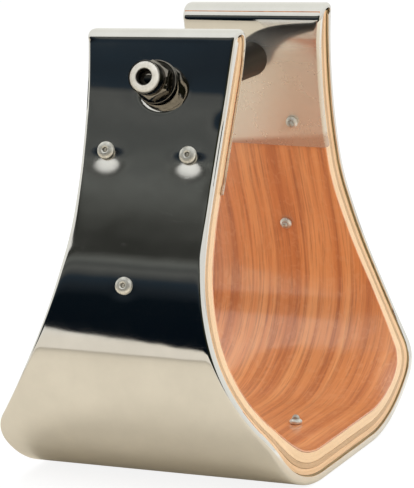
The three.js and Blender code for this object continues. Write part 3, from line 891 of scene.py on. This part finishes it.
def sheet_scuffs(tree):
    """Roughness added below the two upper rivets of each leg."""
    place = grain_map(tree)
    added = 0.0
    for side, spots in HOLLOWS.items():
        for drop, centre, radius, reach, *_ in spots[1:3]:
            mark = drop + SCUFF_DROP
            mark = mark if side > 0 else 2 * HALF_LENGTH - mark
            spot = (mark * MM, (centre + SHEET) * MM, 0)
            gap = add(tree, "ShaderNodeVectorMath", {0: place, 1: spot}, operation="DISTANCE")
            near = span(tree, gap.outputs["Value"], SCUFF, 0.0, radius * MM, (radius + reach) * MM)
            added = total(tree, added, near)
    return added


def sheet_masks(tree):
    """Where the sheet is tab, where a tab's lower end takes its painted reflection, and how far a tab's front
    part takes its painted reflection.
    """
    place = add(tree, "ShaderNodeSeparateXYZ", {0: grain_map(tree)})
    across = place.outputs["Y"]
    centred = total(tree, place.outputs["X"], HALF_LENGTH * MM, "SUBTRACT")
    from_middle = add(tree, "ShaderNodeMath", {0: centred}, operation="ABSOLUTE").outputs[0]
    top = HALF_LENGTH
    on_tab = span(tree, from_middle, 0.0, 1.0, (top + TAB_FADE_FROM) * MM, (top + TAB_FADE_TO) * MM)
    # Painted reflection band at the tab's lower end, slanted across the depth
    slant = total(tree, from_middle, total(tree, across, TAB_END_SLANT, "MULTIPLY"), "SUBTRACT")
    low = top + TAB_LENGTH
    end = span(tree, slant, 0.0, TAB_END_REFLECTION_SHARE, (low - TAB_END_FROM) * MM, (low - TAB_END_TO) * MM)
    # Painted reflection on the tab's front part, fading towards the rear
    front = span(tree, across, TAB_FRONT_REFLECTION_SHARE, 0.0, TAB_FRONT_FROM * MM, TAB_FRONT_TO * MM)
    return on_tab, end, total(tree, on_tab, front, "MULTIPLY")


def sheet_material():
    """Polished sheet: near mirror, faintly wavy, with fine scratches and a few dull spots.
    The tabs are duller and warmer, with painted reflections: a reddish band at each lower end and a browner
    front part."""
    made, tree, shader = new_material("polished_sheet", Metallic=1.0)
    waves = solid_noise(tree, 26, 1.0, 0.4)
    dents = solid_noise(tree, 90, 1.0, 0.4, seed=3.0)
    brush = grain(tree, 18000, 500, 2, 0.6, 5.0)
    scratch = grain(tree, 1300, 160, 2, 0.5, 8.0, 1.2)
    haze = solid_noise(tree, 60, 4, 0.65, seed=7.0)
    on_tab, end, front = sheet_masks(tree)
    plain = total(tree, 1.0, on_tab, "SUBTRACT")
    tone = mix(tree, span(tree, haze, 0.0, 1.0), (0.82, 0.815, 0.80), (0.76, 0.755, 0.74))
    tone = mix(tree, on_tab, tone, TAB_TONE)
    # Painted reflection: reddish band at the tab's lower end
    tone = mix(tree, end, tone, TAB_END_PAINTED_REFLECTION)
    # Painted reflection: the tab's front part browner
    tone = mix(tree, front, tone, TAB_FRONT_PAINTED_REFLECTION)
    tree.links.new(tone, shader.inputs["Base Color"])
    metal = total(tree, 1.0, total(tree, on_tab, TAB_MATT, "MULTIPLY"), "SUBTRACT")
    tree.links.new(metal, shader.inputs["Metallic"])
    lines = total(tree, span(tree, scratch, 0.0, 1.0, 0.735, 0.75), plain, "MULTIPLY")
    dull = total(tree, span(tree, haze, 0.035, 0.07), total(tree, lines, SCRATCH, "MULTIPLY"))
    dull = total(tree, dull, sheet_scuffs(tree))
    dull = total(tree, dull, total(tree, on_tab, TAB_DULLNESS, "MULTIPLY"))
    tree.links.new(dull, shader.inputs["Roughness"])
    under = bump(tree, shader, total(tree, waves, total(tree, dents, 0.2, "MULTIPLY")), 0.00008)
    bump(tree, shader, total(tree, brush, plain, "MULTIPLY"), 0.0000010, 1.0, under)
    return made


def steel_material(name, tone, dull, spread):
    """Small metal parts: blotchy tone and gloss over a fine texture."""
    made, tree, shader = new_material(name, Metallic=1.0)
    stains = solid_noise(tree, 420, 4, 0.6, seed=spread)
    rings = solid_noise(tree, 2600, 2, 0.6, seed=spread + 2)
    shade = mix(tree, span(tree, stains, 0.0, 1.0, 0.4, 0.75), tone, tuple(0.6 * c for c in tone))
    tree.links.new(shade, shader.inputs["Base Color"])
    tree.links.new(span(tree, stains, dull, 1.6 * dull), shader.inputs["Roughness"])
    bump(tree, shader, rings, 0.000004, 0.6)
    return made


def nylon_material(place):
    """White nylon, its bore painted dark as painted shade deep in the hole."""
    made, tree, shader = new_material("white_nylon", Roughness=0.45)
    cloud = solid_noise(tree, 500, 3, 0.6)
    tone = ramp(tree, cloud, [(0.3, (0.66, 0.64, 0.58)), (0.7, (0.84, 0.83, 0.78))])
    local = add(tree, "ShaderNodeMapping", {
        "Vector": add(tree, "ShaderNodeTexCoord").outputs["Object"],
        "Location": place.to_translation() * MM, "Rotation": place.to_euler()}, vector_type="TEXTURE")
    around = add(tree, "ShaderNodeVectorMath", {0: local.outputs[0], 1: (0, 1, 1)}, operation="MULTIPLY")
    radius = add(tree, "ShaderNodeVectorMath", {0: around.outputs[0]}, operation="LENGTH").outputs["Value"]
    # Painted shade: the bore darkened near the ring's axis, standing for the shade deep in the hole
    painted_bore_shade = span(tree, radius, 1.0, 0.0, (RING_BORE / 2 + 0.1) * MM, (RING_BORE / 2 + 0.5) * MM)
    tree.links.new(mix(tree, painted_bore_shade, tone, (0.012, 0.010, 0.008)), shader.inputs["Base Color"])
    bump(tree, shader, cloud, 0.00002, 0.5)
    return made


def roller_material():
    """Near black plastic with lighter scuffs along it."""
    made, tree, shader = new_material("black_plastic", Specular_IOR_Level=0.1)
    scuff = solid_noise(tree, 90, 5, 0.7, (0.25, 1, 1))
    tone = ramp(tree, scuff, [(0.35, (0.005, 0.004, 0.003)), (0.75, (0.020, 0.015, 0.011))])
    tree.links.new(tone, shader.inputs["Base Color"])
    tree.links.new(span(tree, scuff, 0.3, 0.5), shader.inputs["Roughness"])
    bump(tree, shader, scuff, 0.00002, 0.5)
    return made


def dress(piece, material, slot, body, *nodes):
    """Give a piece its look, the nodes that it stands for and the body that it rides on; slot is not used."""
    piece.data.materials.clear()
    piece.data.materials.append(material)
    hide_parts(*nodes)
    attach(piece, body)


# The bow
WOOD_LOOKS = {
    "face_veneer": ("red_veneer", veneer_material()),
    "inner_core_ply": ("cream_wood", ply_material("cream_ply", (0.96, 0.70, 0.45), (0.82, 0.56, 0.32), 1.0)),
    "cross_ply": ("tan_wood", ply_material("tan_ply", (0.70, 0.46, 0.27), (0.48, 0.30, 0.15), 2.0, 0.2)),
    "outer_core_ply": ("peach_wood", ply_material("peach_ply", (0.93, 0.63, 0.38), (0.74, 0.46, 0.24), 3.0)),
    "backing_ply": (
        "tan_wood", ply_material("backing_ply_edge", (0.52, 0.36, 0.17), (0.30, 0.20, 0.09), 4.0, 0.2)),
}
depth_in = 0.0
for seed, (node_name, thickness) in enumerate(PLIES.items()):
    slot_name, look = WOOD_LOOKS[node_name]
    piece = ply(f"{node_name}_wood", depth_in, thickness, seed + 1)
    dress(piece, look, slot_name, "bow", node_name)
    depth_in += thickness + GLUE_LINE
dress(cover(), sheet_material(), "polished_sheet", "bow", "metal_cover")

# The hanger bolt and what is on it
plated = steel_material("plated_steel", (0.28, 0.262, 0.235), 0.06, 1.0)
left_place = place_on(-1, BOLT_DROP, 0)
right_place = place_on(1, BOLT_DROP, 0)
dress(nut(left_place), plated, "plated_steel", "bow", "lock_nut")
dress(nut_ring(left_place), nylon_material(left_place), "white_nylon", "bow", "lock_nut_ring")
dress(washer("left_washer_disc", left_place), plated, "plated_steel", "bow", "left_washer")
dress(washer("right_washer_disc", right_place), plated, "plated_steel", "bow", "right_washer")
dress(bolt_shank(), plated, "plated_steel", "bow", "hanger_bolt")
dress(bolt_head(right_place), plated, "plated_steel", "bow", "hanger_bolt")
dress(roller(), roller_material(), "black_plastic", "roller", "strap_roller")

# Blind rivets
aluminium = steel_material("rivet_aluminium", (0.90, 0.90, 0.87), 0.4, 5.0)
mandrel_steel = steel_material("mandrel_steel", (0.62, 0.60, 0.56), 0.4, 9.0)
SPOTS = {}
for leg, side in (("left", -1), ("right", 1)):
    pair, lower = SHIFTS[side]
    SPOTS[f"{leg}_front_rivet"] = (side, UPPER_RIVET_DROP, pair - UPPER_RIVET_SPREAD / 2, True, False)
    SPOTS[f"{leg}_rear_rivet"] = (side, UPPER_RIVET_DROP, pair + UPPER_RIVET_SPREAD / 2, True, False)
    SPOTS[f"{leg}_lower_rivet"] = (side, LOWER_RIVET_DROP, lower, False, False)
SPOTS["tread_front_rivet"] = (1, HALF_LENGTH, -TREAD_RIVET_SPREAD / 2, False, True)
SPOTS["tread_rear_rivet"] = (1, HALF_LENGTH, TREAD_RIVET_SPREAD / 2, False, True)
for node_name, (side, drop, y, on_tab_face, flush) in SPOTS.items():
    foot = (TAB_FACE if on_tab_face else 0) - SEAT_GAP
    shell, pin = rivet(node_name, place_on(side, drop, y), foot, flush)
    dress(shell, aluminium, "rivet_metal", "bow", node_name)
    dress(pin, mandrel_steel, "plated_steel", "bow", f"{node_name}_mandrel")


# Dark panel beside the left leg, which the polished sheet mirrors, in metres
CARD_PLACE = -0.4
CARD_FRONT = -0.45
CARD_REAR = 1.5
CARD_FOOT = 0.096
CARD_FOOT_BEND = 0.09
CARD_FOOT_RISE = 0.225
CARD_FOOT_REAR = 0.141
CARD_TOP = 0.42
CARD_SHADE_FROM = -0.16
CARD_SHADE_TO = -0.1
CARD_SHADE_TONE = (0.025, 0.026, 0.014)
CARD_TONES_FROM = 0.1
CARD_TONES_TO = 0.4
CARD_TONES = [
    (0.0, (0.001, 0.003, 0.006)), (0.40, (0.003, 0.006, 0.009)), (0.50, (0.014, 0.019, 0.024)),
    (0.60, (0.018, 0.028, 0.038)), (0.64, (0.05, 0.054, 0.054)), (0.71, (0.095, 0.098, 0.092)),
    (0.77, (0.07, 0.074, 0.07)), (0.84, (0.12, 0.125, 0.115)), (0.91, (0.068, 0.07, 0.063)),
    (0.96, (0.03, 0.031, 0.027)),
]

# Floor
FLOOR_REACH = 6
FLOOR_WHITE = 0.86
FLOOR_SHADE = 0.22
FLOOR_GLOW = 0.1
FLOOR_NEAR_TONE = (0.74, 0.665, 0.53)
FLOOR_FAR_TONE = (0.88, 0.86, 0.80)
FLOOR_NEAR = -0.05
FLOOR_FAR = 0.1

# Room that gloss sees, by height, and what it sees ahead of the camera
ROOM_TONES = [
    (0.0, (0.84, 0.78, 0.67)), (0.12, (0.84, 0.78, 0.67)), (0.2, (0.86, 0.85, 0.80)),
    (0.6, (0.86, 0.85, 0.80)), (0.7, (0.91, 0.91, 0.86)), (1.0, (0.91, 0.91, 0.86)),
]
AHEAD_TONE = (0.89, 0.885, 0.82)
MATT_TONE = (0.55, 0.55, 0.55)

# Camera, where the photograph was taken from
CAMERA_PLACE = Vector((-1120.08, -438.51, 317.01)) * MM
CAMERA_YAW = 0.3755
CAMERA_PITCH = 0.1930
CAMERA_ROLL = -0.0059
FOCAL_PIXELS = 3214.5
PICTURE_HEIGHT = 488
AXIS_ABOVE_MIDDLE = 4.1


def camera():
    """Set the camera and return the level direction that it looks in."""
    level = Vector((math.cos(CAMERA_YAW), math.sin(CAMERA_YAW), 0))
    ahead = level * math.cos(CAMERA_PITCH) - Vector((0, 0, math.sin(CAMERA_PITCH)))
    right = ahead.cross(Vector((0, 0, 1))).normalized()
    up = right.cross(ahead)
    turned_right = right * math.cos(CAMERA_ROLL) + up * math.sin(CAMERA_ROLL)
    turned_up = up * math.cos(CAMERA_ROLL) - right * math.sin(CAMERA_ROLL)
    data = bpy.data.cameras.new("camera")
    data.sensor_fit = "VERTICAL"
    data.sensor_height = 36
    data.lens = FOCAL_PIXELS * data.sensor_height / PICTURE_HEIGHT
    data.shift_y = -AXIS_ABOVE_MIDDLE / PICTURE_HEIGHT
    data.clip_end = 50
    made = bpy.data.objects.new("camera", data)
    bpy.context.scene.collection.objects.link(made)
    turn = Matrix((turned_right, turned_up, -ahead)).transposed().to_4x4()
    made.matrix_world = Matrix.Translation(CAMERA_PLACE) @ turn
    bpy.context.scene.camera = made
    return level


def floor():
    """Pale floor: white to the camera with the object's shadow kept, warm in reflections."""
    data = bpy.data.meshes.new("floor")
    corners = [(-1, -1), (1, -1), (1, 1), (-1, 1)]
    data.from_pydata([(x * FLOOR_REACH, y * FLOOR_REACH, 0) for x, y in corners], [], [(0, 1, 2, 3)])
    made = bpy.data.objects.new("floor", data)
    bpy.context.scene.collection.objects.link(made)
    look = bpy.data.materials.new("pale_floor")
    look.use_nodes = True
    tree = look.node_tree
    tree.nodes.clear()
    path = add(tree, "ShaderNodeLightPath")
    white = add(tree, "ShaderNodeEmission", {"Color": (1, 1, 1, 1), "Strength": FLOOR_WHITE})
    shaded = add(tree, "ShaderNodeBsdfDiffuse", {"Color": (FLOOR_SHADE, FLOOR_SHADE, FLOOR_SHADE, 1)})
    seen = add(tree, "ShaderNodeAddShader", {0: white.outputs[0], 1: shaded.outputs[0]})
    place = add(tree, "ShaderNodeSeparateXYZ", {0: add(tree, "ShaderNodeNewGeometry").outputs["Position"]})
    beyond = span(tree, place.outputs["X"], 0.0, 1.0, FLOOR_NEAR, FLOOR_FAR)
    tint = mix(tree, beyond, FLOOR_NEAR_TONE, FLOOR_FAR_TONE)
    matt = add(tree, "ShaderNodeBsdfDiffuse", {"Color": tint})
    glow = add(tree, "ShaderNodeEmission", {"Color": tint, "Strength": FLOOR_GLOW})
    warm = add(tree, "ShaderNodeAddShader", {0: matt.outputs[0], 1: glow.outputs[0]})
    both = add(tree, "ShaderNodeMixShader", {
        0: path.outputs["Is Camera Ray"], 1: warm.outputs[0], 2: seen.outputs[0]})
    add(tree, "ShaderNodeOutputMaterial", {"Surface": both.outputs[0]})
    data.materials.append(look)


def dark_card():
    """Upright dark panel, seen in reflections alone: near black below, grey above and dark at its front."""
    outline = [(CARD_REAR, CARD_FOOT_REAR), (CARD_FOOT_RISE, CARD_FOOT_REAR), (CARD_FOOT_BEND, CARD_FOOT),
               (CARD_FRONT, CARD_FOOT), (CARD_FRONT, CARD_TOP), (CARD_REAR, CARD_TOP)]
    data = bpy.data.meshes.new("dark_card")
    data.from_pydata([(CARD_PLACE, y, z) for y, z in outline], [], [tuple(range(len(outline)))])
    made = bpy.data.objects.new("dark_card", data)
    bpy.context.scene.collection.objects.link(made)
    look = bpy.data.materials.new("dark_card")
    look.use_nodes = True
    tree = look.node_tree
    tree.nodes.clear()
    place = add(tree, "ShaderNodeSeparateXYZ", {0: add(tree, "ShaderNodeNewGeometry").outputs["Position"]})
    share = span(tree, place.outputs["Z"], 0.0, 1.0, CARD_TONES_FROM, CARD_TONES_TO)
    tone = ramp(tree, share, CARD_TONES)
    shade = span(tree, place.outputs["Y"], 1.0, 0.0, CARD_SHADE_FROM, CARD_SHADE_TO)
    tone = mix(tree, shade, tone, CARD_SHADE_TONE)
    glow = add(tree, "ShaderNodeEmission", {"Color": tone, "Strength": 1.0})
    add(tree, "ShaderNodeOutputMaterial", {"Surface": glow.outputs[0]})
    data.materials.append(look)
    made.visible_camera = False
    made.visible_diffuse = False
    made.visible_transmission = False
    made.visible_shadow = False


def world(level):
    """White to the camera and even light for matt surfaces. Gloss sees a bright room, beige at its foot."""
    made = bpy.data.worlds.new("studio")
    made.use_nodes = True
    tree = made.node_tree
    tree.nodes.clear()
    way = add(tree, "ShaderNodeTexCoord").outputs["Generated"]
    parts = add(tree, "ShaderNodeSeparateXYZ", {0: way})
    ahead = add(tree, "ShaderNodeVectorMath", {0: way, 1: tuple(level)}, operation="DOT_PRODUCT")
    room = ramp(tree, parts.outputs["Z"], ROOM_TONES)
    sweep = span(tree, ahead.outputs["Value"], 0.0, 1.0, 0.0, 0.3)
    gloss = mix(tree, sweep, room, AHEAD_TONE)
    path = add(tree, "ShaderNodeLightPath")
    soft = mix(tree, path.outputs["Is Glossy Ray"], MATT_TONE, gloss)
    seen = mix(tree, path.outputs["Is Camera Ray"], soft, (1.0, 1.0, 1.0))
    back = add(tree, "ShaderNodeBackground", {"Color": seen, "Strength": 1.0})
    add(tree, "ShaderNodeOutputWorld", {"Surface": back.outputs[0]})
    bpy.context.scene.world = made


def lamp(name, place, size, power):
    """Square lamp that faces the object and is not mirrored."""
    data = bpy.data.lights.new(name, "AREA")
    data.size = size
    data.energy = power
    made = bpy.data.objects.new(name, data)
    made.matrix_world = Matrix.Translation(place) @ Vector(place).to_track_quat("Z", "Y").to_matrix().to_4x4()
    bpy.context.scene.collection.objects.link(made)
    made.visible_glossy = False
    return made


world(camera())
floor()
dark_card()
lamp("key", (-0.8, -1.4, 1.1), 1.0, 17)
lamp("top", (0.3, 0.3, 1.7), 1.2, 10)
bpy.context.scene.view_settings.view_transform = "Standard"
